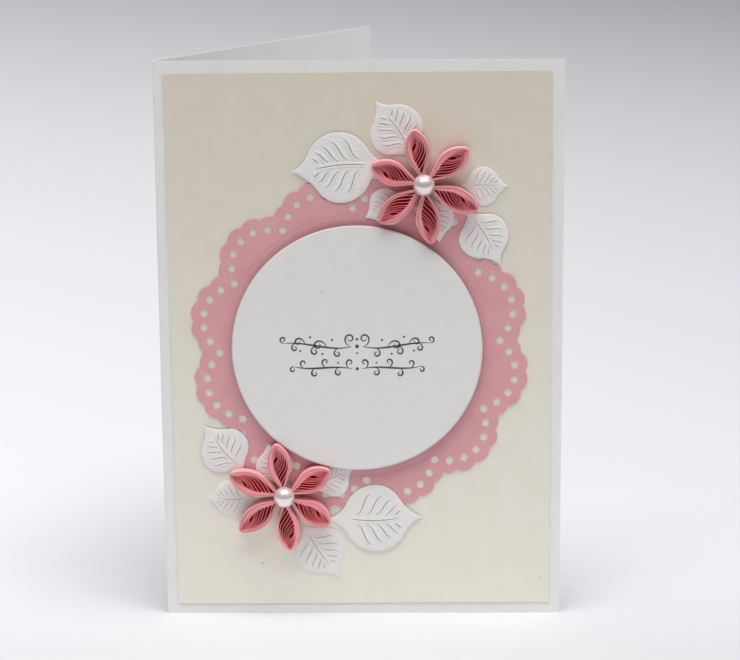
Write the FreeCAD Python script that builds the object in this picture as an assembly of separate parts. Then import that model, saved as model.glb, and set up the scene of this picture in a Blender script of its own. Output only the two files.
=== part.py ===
import FreeCAD, Part
import math
import os

# A quilled wedding invitation: a folded card that stands open like a book, dressed on its
# front with a cream mat, a pink scalloped doily, a raised round plaque and two paper flowers
# with leaves and a half-round pearl each. All lengths are millimetres.
#
# The front is laid out flat, as on a work table: U runs from the fold to the right, V from the
# bottom edge up, and W is the height above the card. Each finished piece is then stood up.

Vec = FreeCAD.Vector

# ---- The folded card ----
PANEL_WIDTH = 105.0
PANEL_HEIGHT = 148.0
CARD_THICKNESS = 0.35
FOLD_INNER_RADIUS = 0.25
OPENING_ANGLE = 59.0

# ---- The glued layers ----
MAT_MARGIN = 3.0
MAT_TURN = 0.2
MAT_THICKNESS = 0.3
DOILY_THICKNESS = 0.3
FOAM_THICKNESS = 1.5
FOAM_DIAMETER = 11.0
FOAM_RING_RADIUS = 19.0
FOAM_COUNT = 5
PLAQUE_THICKNESS = 0.4
PLAQUE_RADIUS = 32.6
PLAQUE_OFFSET_U = -0.9
PLAQUE_OFFSET_V = -0.85

# ---- The die-cut doily ----
# It shows as a broad rim round the plaque, so its lobes are placed from the plaque's edge. A
# lobe's radius is a share of the lobes' spacing, and a scallop's a share of the scallops' spacing.
DOILY_OFFSET_U = -0.3
DOILY_OFFSET_V = -0.5
DOILY_TURN = 17.4
LOBE_COUNT = 12
LOBE_CENTRE_INSET = 0.7
LOBE_FULLNESS = 0.575
SCALLOP_FULLNESS = 0.81
SCALLOP_STEP = 25.5
HOLE_STEP = 23.7
HOLE_DIAMETER = 2.2
VALLEY_HOLE_SHARE = 0.495

# ---- The die-cut leaves ----
LEAF_THICKNESS = 0.5
LEAF_EDGE_ROUNDING = 0.15
LARGE_LEAF_WIDTH = 18.3
BROAD_LEAF_WIDTH = 14.0
MEDIUM_LEAF_WIDTH = 13.0
SMALL_LEAF_WIDTH = 10.0
LARGE_TIP_REACH = 1.34
SMALL_TIP_REACH = 1.26
LARGE_BASE_REACH = 1.55
SMALL_BASE_REACH = 1.16
FULL_SIDE_ROUNDNESS = 0.92
FULL_FLANK_RADIUS = 0.9
LEAN_SIDE_ROUNDNESS = 0.76
LEAN_FLANK_RADIUS = 1.6
STEM_FLANK_RADIUS = 0.8
VEIN_WIDTH = 0.2
VEINS_A_SIDE = 5

# ---- The quilled flowers ----
FLOWER_RADIUS = 15.5
STRIP_WIDTH = 3.0
STRIP_THICKNESS = 0.2
PETAL_WIDTH = 6.3
PETAL_TIP_RADIUS = 1.3
PETAL_FLANK_ANGLE = 26.0
PETAL_START = 0.9
PETAL_WALL = 1.1
COIL_TURNS = 10
COIL_EYE_SIZE = 0.2
COIL_EYE_OFFSET = 0.35
COIL_FLATNESS = 0.5
COIL_SLANT = 36.0
PEARL_DIAMETER = 5.6
PEARL_CUT = 0.2
TOP_FLOWER_CLEARANCE = 1.1
BOTTOM_FLOWER_CLEARANCE = 0.1

# ---- Heights above the front panel ----
MAT_TOP = MAT_THICKNESS
DOILY_TOP = MAT_TOP + DOILY_THICKNESS
PLAQUE_BOTTOM = DOILY_TOP + FOAM_THICKNESS
PETAL_BOTTOM = DOILY_TOP + LEAF_THICKNESS
PETAL_TOP = PETAL_BOTTOM + STRIP_WIDTH
PEARL_RADIUS = PEARL_DIAMETER / 2
FRONT_MOST = PETAL_TOP + PEARL_CUT + PEARL_RADIUS

# ---- The doily's round forms, from the plaque's edge ----
LOBE_CENTRE_RADIUS = PLAQUE_RADIUS - LOBE_CENTRE_INSET
LOBE_RADIUS = LOBE_FULLNESS * 2 * LOBE_CENTRE_RADIUS * math.sin(math.pi / LOBE_COUNT)
SCALLOP_RADIUS = SCALLOP_FULLNESS * 2 * LOBE_RADIUS * math.sin(math.radians(SCALLOP_STEP / 2))
VALLEY_HOLE_RADIUS = LOBE_CENTRE_RADIUS + VALLEY_HOLE_SHARE * LOBE_RADIUS

# ---- Places on the front panel ----
PLAQUE_CENTRE = Vec(PANEL_WIDTH / 2 + PLAQUE_OFFSET_U, PANEL_HEIGHT / 2 + PLAQUE_OFFSET_V, 0)
DOILY_CENTRE = Vec(PANEL_WIDTH / 2 + DOILY_OFFSET_U, PANEL_HEIGHT / 2 + DOILY_OFFSET_V, 0)

# Petals as (direction in degrees, reach as a share of the flower's radius, side on which the
# coil is glued, and the coil's eye as a share of the reach).
TOP_FLOWER_DIRECTION = 68.1
TOP_PETALS = [
    (100.2, 0.926, 1, 0.68),
    (38.6, 0.942, 1, 0.67),
    (-25.7, 1, 1, 0.71),
    (-82.9, 1, -1, 0.73),
    (-139.8, 0.974, 1, 0.72),
    (159.8, 0.929, 1, 0.68),
]
BOTTOM_FLOWER_DIRECTION = 243.8
BOTTOM_PETALS = [
    (98.0, 0.929, 1, 0.68),
    (30.2, 0.897, 1, 0.69),
    (-32.2, 0.916, 1, 0.7),
    (-85.0, 0.968, 1, 0.74),
    (-141.6, 0.987, -1, 0.7),
    (157.5, 1.006, 1, 0.7),
]

# A leaf's side is FULL where it stays round almost to the point, LEAN where it draws in early, and
# a STEM where it ends in a narrow stalk.
# Each die is half its width, its reach to the tip and to the base in half widths, the shape of
# its sides at the base, and the shape of its one side at the tip. The other side is LEAN there.
FULL = (FULL_SIDE_ROUNDNESS, FULL_FLANK_RADIUS)
LEAN = (LEAN_SIDE_ROUNDNESS, LEAN_FLANK_RADIUS)
STEM = (FULL_SIDE_ROUNDNESS, STEM_FLANK_RADIUS)
LARGE_LEAF = (LARGE_LEAF_WIDTH / 2, LARGE_TIP_REACH, LARGE_BASE_REACH, STEM, FULL)
BROAD_LEAF = (BROAD_LEAF_WIDTH / 2, LARGE_TIP_REACH, SMALL_BASE_REACH, LEAN, FULL)
MEDIUM_LEAF = (MEDIUM_LEAF_WIDTH / 2, LARGE_TIP_REACH, SMALL_BASE_REACH, LEAN, FULL)
SMALL_LEAF = (SMALL_LEAF_WIDTH / 2, SMALL_TIP_REACH, SMALL_BASE_REACH, LEAN, LEAN)

# Leaves as (die, hand: 1 where the full side is on the left of the tip, direction of the tip,
# U and V of the middle from the flower's centre as shares of the flower's radius, and whether
# the leaf overlaps the doily and so lies one layer higher).
TOP_LEAVES = [
    (LARGE_LEAF, -1, 184.5, -1.394, 0.261, True),
    (BROAD_LEAF, -1, 124.0, -0.448, 0.865, False),
    (SMALL_LEAF, 1, 0.0, 0.987, -0.065, False),
    (MEDIUM_LEAF, 1, -59.0, 0.99, -0.894, True),
    (SMALL_LEAF, 1, -78.0, 0.181, -0.603, True),
    (SMALL_LEAF, 1, 208.0, -0.613, -0.394, True),
]
BOTTOM_LEAVES = [
    (SMALL_LEAF, 1, 105.0, -0.171, 0.494, True),
    (SMALL_LEAF, 1, 29.0, 0.806, 0.252, True),
    (LARGE_LEAF, -1, 1.0, 1.548, -0.445, True),
    (BROAD_LEAF, -1, -57.0, 0.587, -1.01, False),
    (SMALL_LEAF, 1, 180.0, -0.935, -0.084, False),
    (MEDIUM_LEAF, 1, 129.0, -1.003, 0.761, True),
]


def polar(radius, degrees):
    angle = math.radians(degrees)
    return Vec(radius * math.cos(angle), radius * math.sin(angle), 0)


def arc_about(centre, radius, from_degrees, to_degrees):
    middle = (from_degrees + to_degrees) / 2
    ends = [centre + polar(radius, d) for d in (from_degrees, middle, to_degrees)]
    return Part.Arc(*ends).toShape()


def slab(face, bottom, top):
    lifted = face.translated(Vec(0, 0, bottom))
    return lifted.extrude(Vec(0, 0, top - bottom))


def turned(shape, degrees, place):
    result = shape.copy()
    result.rotate(Vec(0, 0, 0), Vec(0, 0, 1), degrees)
    result.translate(place)
    return result


# ---- The folded card ----
# Its section is drawn from above: the front panel runs along X, then the fold, then the back panel.

def folded_card():
    outer = FOLD_INNER_RADIUS + CARD_THICKNESS
    fold_centre = Vec(outer, outer, 0)
    straight = PANEL_WIDTH - outer
    along_back = polar(straight, OPENING_ANGLE)
    back_normal = OPENING_ANGLE + 90
    edges = []
    corners = []
    for radius, start, end in ((outer, 270, back_normal), (FOLD_INNER_RADIUS, back_normal, 270)):
        edges.append(arc_about(fold_centre, radius, start, end))
        corners.append(fold_centre + polar(radius, start))
        corners.append(fold_centre + polar(radius, end))
    front_outer, back_outer, back_inner, front_inner = corners
    along_front = Vec(straight, 0, 0)
    for a, b in ((back_outer, back_outer + along_back), (back_outer + along_back, back_inner + along_back),
                 (back_inner + along_back, back_inner), (front_inner, front_inner + along_front),
                 (front_inner + along_front, front_outer + along_front),
                 (front_outer + along_front, front_outer)):
        edges.append(Part.makeLine(a, b))
    section = Part.Face(Part.Wire(Part.__sortEdges__(edges)))
    return section.extrude(Vec(0, 0, PANEL_HEIGHT))


# ---- The mat, the doily and the plaque ----

def cream_mat():
    width = PANEL_WIDTH - 2 * MAT_MARGIN
    height = PANEL_HEIGHT - 2 * MAT_MARGIN
    sheet = Part.makeBox(width, height, MAT_THICKNESS, Vec(-width / 2, -height / 2, 0))
    return turned(sheet, MAT_TURN, Vec(PANEL_WIDTH / 2, PANEL_HEIGHT / 2, 0))


def meeting_point(a, b, radius):
    """The outer point where two equal circles about a and b cross."""
    middle = (a + b) / 2
    half_gap = a.distanceToPoint(b) / 2
    outward = Vec(middle).normalize()
    across = Vec(-(b - a).y, (b - a).x, 0).normalize()
    if across.dot(outward) < 0:
        across = -across
    return middle + across * math.sqrt(radius ** 2 - half_gap ** 2)


def doily_outline():
    centres = []
    for lobe in range(LOBE_COUNT):
        axis = DOILY_TURN + lobe * 360 / LOBE_COUNT
        for scallop in range(-2, 3):
            on_lobe = polar(LOBE_RADIUS, axis + scallop * SCALLOP_STEP)
            centres.append(polar(LOBE_CENTRE_RADIUS, axis) + on_lobe)
    edges = []
    for i, centre in enumerate(centres):
        start = meeting_point(centres[i - 1], centre, SCALLOP_RADIUS)
        end = meeting_point(centre, centres[(i + 1) % len(centres)], SCALLOP_RADIUS)
        halfway = centre + ((start + end) / 2 - centre).normalize() * SCALLOP_RADIUS
        edges.append(Part.Arc(start, halfway, end).toShape())
    return Part.Wire(edges)


def doily_holes():
    wires = []
    for lobe in range(LOBE_COUNT):
        axis = DOILY_TURN + lobe * 360 / LOBE_COUNT
        places = [polar(VALLEY_HOLE_RADIUS, axis + 180 / LOBE_COUNT)]
        for hole in range(-2, 3):
            places.append(polar(LOBE_CENTRE_RADIUS, axis) + polar(LOBE_RADIUS, axis + hole * HOLE_STEP))
        for place in places:
            wires.append(Part.Wire(Part.makeCircle(HOLE_DIAMETER / 2, place)))
    return wires


def scalloped_doily():
    face = Part.makeFace([doily_outline()] + doily_holes(), "Part::FaceMakerBullseye")
    return slab(face, MAT_TOP, DOILY_TOP).translated(DOILY_CENTRE)


def plaque_foam_pads():
    pads = []
    for i in range(FOAM_COUNT):
        place = PLAQUE_CENTRE + polar(FOAM_RING_RADIUS, 90 + i * 360 / FOAM_COUNT) + Vec(0, 0, DOILY_TOP)
        pads.append(Part.makeCylinder(FOAM_DIAMETER / 2, FOAM_THICKNESS, place))
    return Part.makeCompound(pads)


def round_plaque():
    return Part.makeCylinder(PLAQUE_RADIUS, PLAQUE_THICKNESS, PLAQUE_CENTRE + Vec(0, 0, PLAQUE_BOTTOM))


# ---- Leaves ----
# Each of a leaf's four quarters is a round arc from its widest point, and then a hollow flank that
# leaves the arc without a corner and runs out to the point.

def leaf_quarter(half_width, reach, side, shape):
    side_radius, flank = (share * half_width for share in shape)
    side_centre = Vec(0, side * (half_width - side_radius), 0)
    point = Vec(reach * half_width, 0, 0)
    to_point = point - side_centre
    away = to_point.Length
    far = side_radius + flank
    spread = math.acos((far ** 2 + away ** 2 - flank ** 2) / (2 * far * away))
    bearing = math.atan2(to_point.y, to_point.x) + side * math.copysign(spread, reach)
    touch = side_centre + polar(side_radius, math.degrees(bearing))
    flank_centre = side_centre + polar(far, math.degrees(bearing))
    widest = Vec(0, side * half_width, 0)
    on_side = side_centre + ((widest + touch) / 2 - side_centre).normalize() * side_radius
    on_flank = flank_centre + ((touch + point) / 2 - flank_centre).normalize() * flank
    return [Part.Arc(widest, on_side, touch).toShape(), Part.Arc(touch, on_flank, point).toShape()]


def leaf_outline(die, hand):
    half_width, tip_reach, base_reach, base_shape, tip_shape = die
    edges = leaf_quarter(half_width, tip_reach, hand, tip_shape)
    edges += leaf_quarter(half_width, tip_reach, -hand, LEAN)
    edges += leaf_quarter(half_width, -base_reach, 1, base_shape)
    edges += leaf_quarter(half_width, -base_reach, -1, base_shape)
    return Part.Wire(Part.__sortEdges__(edges))


def slit(start, end, first_bow, last_bow, width):
    """A narrow curved cut that tapers to nothing at both ends."""
    along = end - start
    side = Vec(-along.y, along.x, 0).normalize()
    banks = []
    for sign in (1, -1):
        curve = Part.BezierCurve()
        spread = side * (sign * width * 2 / 3)
        curve.setPoles([start, start + along / 3 + side * first_bow + spread,
                        start + along * 2 / 3 + side * last_bow + spread, end])
        banks.append(curve.toShape())
    return Part.Wire([banks[0], banks[1]])


def leaf_veins(half_width, hand):
    midrib_start = Vec(-0.76, 0, 0) * half_width
    bow = hand * 0.1 * half_width
    wires = [slit(midrib_start, Vec(0.7, 0, 0) * half_width, bow, bow, VEIN_WIDTH)]
    for side in (1, -1):
        for i in range(VEINS_A_SIDE):
            share = i / VEINS_A_SIDE
            start = Vec(-0.57 + 1.4 * share, side * 0.14 + hand * 0.04, 0) * half_width
            length = 0.78 * half_width * (1 - (1.06 * share) ** 2)
            lean = side * (55 - 30 * share)
            bow = side * 0.12 * length
            wires.append(slit(start, start + polar(length, lean), bow, -bow, VEIN_WIDTH))
    return wires


def leaf(die, hand, direction, place):
    face = Part.makeFace([leaf_outline(die, hand)] + leaf_veins(die[0], hand), "Part::FaceMakerBullseye")
    blank = slab(face, 0, LEAF_THICKNESS)
    rim = [edge for edge in blank.Edges if is_rim(edge)]
    return turned(blank.makeChamfer(LEAF_EDGE_ROUNDING, rim), direction, place)


def is_rim(edge):
    """Whether an edge is on the top outline, which alone is made of circular arcs."""
    middle = edge.valueAt((edge.FirstParameter + edge.LastParameter) / 2)
    on_top = abs(middle.z - LEAF_THICKNESS) < 1e-6
    return on_top and edge.Curve.TypeId == "Part::GeomCircle"


# ---- Quilled petals ----
# A petal is a loose coil of paper strip, glued at one side so that its turns bunch there, then
# pinched to a point at the flower's centre and nearly so at its outer end.

def petal_sides(reach):
    """Radius and centre of the side arc that touches the flank line, the width and the tip."""
    flank = math.radians(PETAL_FLANK_ANGLE)
    half = PETAL_WIDTH / 2
    tip_x = reach - PETAL_TIP_RADIUS
    low, high = half, 10 * reach
    for _ in range(60):
        radius = (low + high) / 2
        centre_x = PETAL_START + (radius + (half - radius) * math.cos(flank)) / math.sin(flank)
        to_tip = math.hypot(tip_x - centre_x, half - radius)
        if to_tip > radius - PETAL_TIP_RADIUS:
            low = radius
        else:
            high = radius
    return radius, Vec(centre_x, half - radius, 0)


def petal_loop(reach, inset, move):
    """The petal's outline drawn inset from its outside, as a face, with each point moved by move."""
    flank = math.radians(PETAL_FLANK_ANGLE)
    side_radius, side_centre = petal_sides(reach)
    radius = side_radius - inset
    start = Vec(PETAL_START + inset / math.sin(flank), 0, 0)
    leave = side_centre + polar(radius, PETAL_FLANK_ANGLE + 90)
    tip_radius = PETAL_TIP_RADIUS - inset
    if tip_radius > 0:
        tip_centre = Vec(reach - PETAL_TIP_RADIUS, 0, 0)
        arrive = side_centre + (tip_centre - side_centre).normalize() * radius
        end = tip_centre + Vec(tip_radius, 0, 0)
    else:
        arrive = side_centre + Vec(math.sqrt(radius ** 2 - side_centre.y ** 2), -side_centre.y, 0)
        end = arrive
    halfway = side_centre + ((leave + arrive) / 2 - side_centre).normalize() * radius
    upper = [start, leave, halfway, arrive]
    lower = [Vec(p.x, -p.y, 0) for p in upper]
    edges = []
    for line_start, line_end, arc_middle, arc_end in (upper, lower):
        edges.append(Part.makeLine(move(line_start), move(line_end)))
        edges.append(Part.Arc(move(line_end), move(arc_middle), move(arc_end)).toShape())
    if tip_radius > 0:
        edges.append(Part.Arc(move(upper[3]), move(end), move(lower[3])).toShape())
    return Part.Face(Part.Wire(Part.__sortEdges__(edges)))


def coil_gaps(reach, eye_place):
    """The open spaces between the turns, from the eye outwards."""
    eye = Vec(eye_place * reach, COIL_EYE_OFFSET, 0)

    def turn_move(size):
        swing = math.radians(-COIL_SLANT * (1 - size))

        def move(point):
            out = (point - eye) * size
            flat = out.y * (1 - COIL_FLATNESS * (1 - size))
            x = out.x * math.cos(swing) - flat * math.sin(swing)
            y = out.x * math.sin(swing) + flat * math.cos(swing)
            return eye + Vec(x, y, 0)
        return move

    sizes = [COIL_EYE_SIZE + (1 - COIL_EYE_SIZE) * i / COIL_TURNS for i in range(COIL_TURNS + 1)]
    inside = petal_loop(reach, PETAL_WALL, turn_move(1))
    gaps = [petal_loop(reach, PETAL_WALL, turn_move(sizes[0]))]
    for inner, outer in zip(sizes, sizes[1:]):
        hole = petal_loop(reach, PETAL_WALL, turn_move(outer))
        strip = petal_loop(reach, PETAL_WALL - STRIP_THICKNESS / inner, turn_move(inner))
        gaps.extend(hole.cut(strip).common(inside).Faces)
    return gaps


def petal(direction, reach, hand, eye_place, place):
    body = petal_loop(reach, 0, lambda point: point)
    coil = body.cut(coil_gaps(reach, eye_place))
    solid = slab(coil, 0, STRIP_WIDTH)
    if hand < 0:
        solid = solid.mirror(Vec(0, 0, 0), Vec(0, 1, 0))
    return turned(solid, direction, place + Vec(0, 0, PETAL_BOTTOM))


def pearl(place):
    centre = place + Vec(0, 0, PETAL_TOP + PEARL_CUT)
    ball = Part.makeSphere(PEARL_RADIUS, centre)
    below = Part.makeBox(PEARL_DIAMETER, PEARL_DIAMETER, PEARL_RADIUS,
                         centre - Vec(PEARL_RADIUS, PEARL_RADIUS, PEARL_RADIUS + PEARL_CUT))
    return ball.cut(below)


def flower_centre(direction, petals, clearance):
    """The centre on a ray from the plaque at which the nearest petal tip just clears its rim."""
    clear = PLAQUE_RADIUS + PETAL_TIP_RADIUS + clearance
    distances = []
    for petal_direction, share, _, _ in petals:
        to_tip = share * FLOWER_RADIUS - PETAL_TIP_RADIUS
        turn = math.radians(petal_direction - direction)
        aside = to_tip * math.sin(turn)
        if abs(aside) < clear:
            distances.append(math.sqrt(clear ** 2 - aside ** 2) - to_tip * math.cos(turn))
    return PLAQUE_CENTRE + polar(max(distances), direction)


# ---- Putting the card together ----

def dressed_front():
    pieces = {
        "cream_mat": cream_mat(),
        "scalloped_doily": scalloped_doily(),
        "plaque_foam_pads": plaque_foam_pads(),
        "round_plaque": round_plaque(),
    }
    flowers = (("top", TOP_FLOWER_DIRECTION, TOP_FLOWER_CLEARANCE, TOP_PETALS, TOP_LEAVES),
               ("bottom", BOTTOM_FLOWER_DIRECTION, BOTTOM_FLOWER_CLEARANCE, BOTTOM_PETALS, BOTTOM_LEAVES))
    for name, direction, clearance, petals, leaves in flowers:
        centre = flower_centre(direction, petals, clearance)
        print(name, "flower centre", round(centre.x, 2), round(centre.y, 2))
        for i, (die, hand, tip_direction, u, v, on_doily) in enumerate(leaves, 1):
            level = DOILY_TOP if on_doily else MAT_TOP
            place = centre + Vec(u, v, 0) * FLOWER_RADIUS + Vec(0, 0, level)
            pieces[f"{name}_leaf_{i}"] = leaf(die, hand, tip_direction, place)
        for i, (petal_direction, share, coil_side, eye_place) in enumerate(petals, 1):
            reach = share * FLOWER_RADIUS
            pieces[f"{name}_petal_{i}"] = petal(petal_direction, reach, coil_side, eye_place, centre)
        pieces[f"{name}_pearl"] = pearl(centre)
    return pieces


def stood_up(shape):
    result = shape.copy()
    result.rotate(Vec(0, 0, 0), Vec(1, 0, 0), 90)
    return result


def main():
    os.makedirs("parts", exist_ok=True)
    card = folded_card()
    depth_back = card.BoundBox.YMax
    to_origin = Vec(-PANEL_WIDTH / 2, (FRONT_MOST - depth_back) / 2, 0)
    nodes = {"folded_card": card}
    for name, piece in dressed_front().items():
        nodes[name] = stood_up(piece)
    for name, shape in nodes.items():
        shape.translate(to_origin)
        print(name, "solids", len(shape.Solids), "valid", shape.isValid(), "mm3", round(shape.Volume, 1))
        shape.exportStep(f"parts/{name}.step")


main()
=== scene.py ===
# %% [markdown]
# # A quilled wedding invitation
# The real card is made of paper in layers: a folded white card, an ivory mat, a pink die-cut
# doily, a white round plaque on foam pads, embossed leaves, and two flowers whose petals are
# coils of paper strip. The CAD model holds every layer at its real size and place. This lesson
# keeps the flat layers and gives them paper finishes. It makes the petals, the leaves and the
# pearls again, because their charm is in detail that a plain solid can't carry.

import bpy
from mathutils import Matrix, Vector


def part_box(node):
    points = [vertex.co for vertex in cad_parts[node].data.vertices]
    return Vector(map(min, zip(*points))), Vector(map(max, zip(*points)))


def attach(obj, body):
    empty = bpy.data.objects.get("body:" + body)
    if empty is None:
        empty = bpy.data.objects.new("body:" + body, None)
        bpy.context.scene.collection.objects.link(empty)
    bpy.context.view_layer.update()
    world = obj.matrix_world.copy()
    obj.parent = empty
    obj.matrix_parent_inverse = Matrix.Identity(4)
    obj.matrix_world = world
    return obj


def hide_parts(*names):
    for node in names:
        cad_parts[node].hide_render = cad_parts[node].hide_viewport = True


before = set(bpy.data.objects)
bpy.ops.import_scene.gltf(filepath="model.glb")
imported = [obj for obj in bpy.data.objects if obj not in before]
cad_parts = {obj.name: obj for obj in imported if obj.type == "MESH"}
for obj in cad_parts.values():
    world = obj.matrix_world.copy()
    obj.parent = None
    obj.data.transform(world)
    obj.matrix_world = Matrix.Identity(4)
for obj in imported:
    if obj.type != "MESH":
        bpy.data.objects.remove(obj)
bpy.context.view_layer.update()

# %% [markdown]
# ## Places come from the CAD
# The front panel stands upright and faces -Y. Each piece is made flat, as on a work table,
# where X runs to the right, Y runs up the card and Z is the height above the paper. It is then
# stood up against its CAD node. So one small matrix does the work that glue does on the desk.

# %% From the work table to the card
import math

import bmesh
import bpy
import numpy as np
from mathutils import Matrix, Quaternion, Vector

MM = 0.001
STAND_UP = Matrix.Rotation(math.radians(90), 4, "X")


def glued_at(x, y, z, turn=0):
    """The move from the work table to a place on the card, after a turn on the table."""
    return Matrix.Translation((x, y, z)) @ STAND_UP @ Matrix.Rotation(math.radians(turn), 4, "Z")


def middle(node):
    """The middle of a CAD node's box."""
    low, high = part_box(node)
    return (low + high) / 2


print("top flower's middle", middle("top_pearl"), "bottom flower's", middle("bottom_pearl"))

# %% [markdown]
# ## Finishes are node trees
# Every paper here has a base colour, a gloss and a surface. Colours are written as they look on
# a screen, and one function turns them into the linear values that the renderer adds up. Another
# adds a node, sets it and wires it, so each finish below reads like a recipe.

# %% Colours and nodes
def colour(hex_value):
    """An sRGB hex colour as the linear colour that Blender's sockets hold."""
    parts = [int(hex_value[i:i + 2], 16) / 255 for i in (0, 2, 4)]
    linear = [p / 12.92 if p <= 0.04045 else ((p + 0.055) / 1.055) ** 2.4 for p in parts]
    return (*linear, 1.0)


def feed(tree, node, inputs):
    """Sets a node's inputs, each to a value or to the output socket that feeds it."""
    for name, value in inputs.items():
        if isinstance(value, bpy.types.NodeSocket):
            tree.links.new(value, node.inputs[name])
        else:
            node.inputs[name].default_value = value


def add(tree, kind, inputs=None, **settings):
    """Adds a node with its settings and its inputs."""
    node = tree.nodes.new(kind)
    for name, value in settings.items():
        setattr(node, name, value)
    feed(tree, node, inputs or {})
    return node


def new_finish(name):
    """An empty material, its tree, its main shader and the Object coordinates."""
    material = bpy.data.materials.new(name)
    material.use_nodes = True
    tree = material.node_tree
    shader = tree.nodes["Principled BSDF"]
    place = add(tree, "ShaderNodeTexCoord").outputs["Object"]
    print("making the finish", name)
    return material, tree, shader, place


def per_metre(size_mm):
    """The texture scale at which one cell of a pattern is size_mm wide."""
    return 1 / (size_mm * MM)


def with_specks(tree, place, tone, node, specks):
    """Tints a small grey fleck at each place, given as X, Z, radius (all in mm) and strength."""
    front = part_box(node)[0].y
    for x, z, radius, strength in specks:
        away = add(tree, "ShaderNodeVectorMath", {
            0: place, 1: (x * MM, front, z * MM)}, operation="DISTANCE")
        near = add(tree, "ShaderNodeMapRange", {
            "Value": away.outputs["Value"], "From Max": radius * MM, "To Min": strength, "To Max": 0.0})
        tone = add(tree, "ShaderNodeMix", {
            "Factor": near.outputs["Result"], "A": tone, "B": colour("7E837A")},
            data_type="RGBA").outputs["Result"]
    return tone


print("a 0.5 mm grain has a scale of", per_metre(0.5))

# %% [markdown]
# ## Smooth white card
# The folded card is white wove card, rolled smooth at the mill. It is nearly plain, with a cloudy
# look where the fibres lie thicker. A slow noise mixes two close whites for the clouds, and a fine
# noise raises the fibres. Real fibres are about 0.03 mm wide and would vanish, so these are
# 0.4 mm wide.

# %% White card
def white_card():
    # Wove card, calendered: matt, with faint clouds and almost no relief.
    material, tree, shader, place = new_finish("wove_card_calendered")
    clouds = add(tree, "ShaderNodeTexNoise", {"Vector": place, "Scale": per_metre(9), "Detail": 3.0})
    tone = add(tree, "ShaderNodeMix", {
        "Factor": clouds.outputs["Fac"], "A": colour("DFDEDC"), "B": colour("E9E8E6")}, data_type="RGBA")
    fibres = add(tree, "ShaderNodeTexNoise", {"Vector": place, "Scale": per_metre(0.4), "Detail": 2.0})
    relief = add(tree, "ShaderNodeBump", {
        "Height": fibres.outputs["Fac"], "Strength": 0.25, "Distance": 0.03 * MM})
    feed(tree, shader, {
        "Base Color": tone.outputs["Result"], "Normal": relief.outputs["Normal"], "Roughness": 0.62,
        "IOR": 1.47})
    return material


WHITE_CARD = white_card()

# %% [markdown]
# ## Pearl paper
# The mat is ivory paper with a pearl coating: flakes of mica in a clear varnish. The flakes act as
# tiny weak mirrors, so the sheet takes on the light that falls from below and from above, and
# it sparkles finely. A little metallic value and a coat with a wide gloss give that. The flakes
# are about 0.03 mm, and these are drawn 0.35 mm wide so that the sparkle shows. Towards the top
# the ivory is painted a touch creamier and darker: painted shade for the weaker light up
# there.

# %% Pearl paper
def pearl_paper():
    # Ivory paper with a mica coating: a soft wide gleam over a warm body colour.
    material, tree, shader, place = new_finish("pearl_coated_ivory_paper")
    clouds = add(tree, "ShaderNodeTexNoise", {"Vector": place, "Scale": per_metre(6), "Detail": 4.0})
    height = add(tree, "ShaderNodeSeparateXYZ", {"Vector": place}).outputs["Z"]
    # Painted shade: the ivory is painted creamier and darker towards the top of the sheet.
    towards_shaded_top = add(tree, "ShaderNodeMapRange", {"Value": height, "From Min": 50 * MM, "From Max": 140 * MM})
    pale = add(tree, "ShaderNodeMix", {
        "Factor": clouds.outputs["Fac"], "A": colour("DED9CB"), "B": colour("E7E3D8")}, data_type="RGBA")
    painted_top_shade = add(tree, "ShaderNodeMix", {
        "Factor": clouds.outputs["Fac"], "A": colour("DFD5C3"), "B": colour("E8DFCF")}, data_type="RGBA")
    tone = add(tree, "ShaderNodeMix", {
        "Factor": towards_shaded_top.outputs["Result"], "A": pale.outputs["Result"], "B": painted_top_shade.outputs["Result"]},
        data_type="RGBA")
    flakes = add(tree, "ShaderNodeTexVoronoi", {"Vector": place, "Scale": per_metre(0.35)})
    glint = add(tree, "ShaderNodeMapRange", {
        "Value": flakes.outputs["Color"], "To Min": 0.36, "To Max": 0.6})
    flecked = with_specks(tree, place, tone.outputs["Result"], "cream_mat",
                          [(-26.7, 14.1, 0.45, 0.75), (47.1, 10.2, 0.45, 0.45)])
    relief = add(tree, "ShaderNodeBump", {
        "Height": flakes.outputs["Color"], "Strength": 0.12, "Distance": 0.02 * MM})
    feed(tree, shader, {
        "Base Color": flecked, "Normal": relief.outputs["Normal"], "Roughness": glint.outputs["Result"],
        "Metallic": 0.2, "Coat Weight": 0.5, "Coat Roughness": 0.4})
    return material


PEARL_PAPER = pearl_paper()

# %% [markdown]
# ## Pink paper
# The doily is cut from paper that is dyed through. Dye takes unevenly, and short fibres show as
# flecks a little lighter than the rest. The surface is quite matt. One faint round line runs a
# little outside the plaque, and it is taken to be pressed by the die. It is far too shallow for
# the mesh, so it is a bump that depends on how far a point is from the doily's middle.

# %% Pink paper
PRESSED_LINE_RADIUS = 34.7 * MM
PRESSED_LINE_WIDTH = 0.5 * MM


def from_middle(tree, place, node):
    """How far each point of a round piece is from the middle of the piece's front."""
    low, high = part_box(node)
    centre = ((low.x + high.x) / 2, low.y, (low.z + high.z) / 2)
    away = add(tree, "ShaderNodeVectorMath", {0: place, 1: centre}, operation="DISTANCE")
    return away.outputs["Value"]


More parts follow.
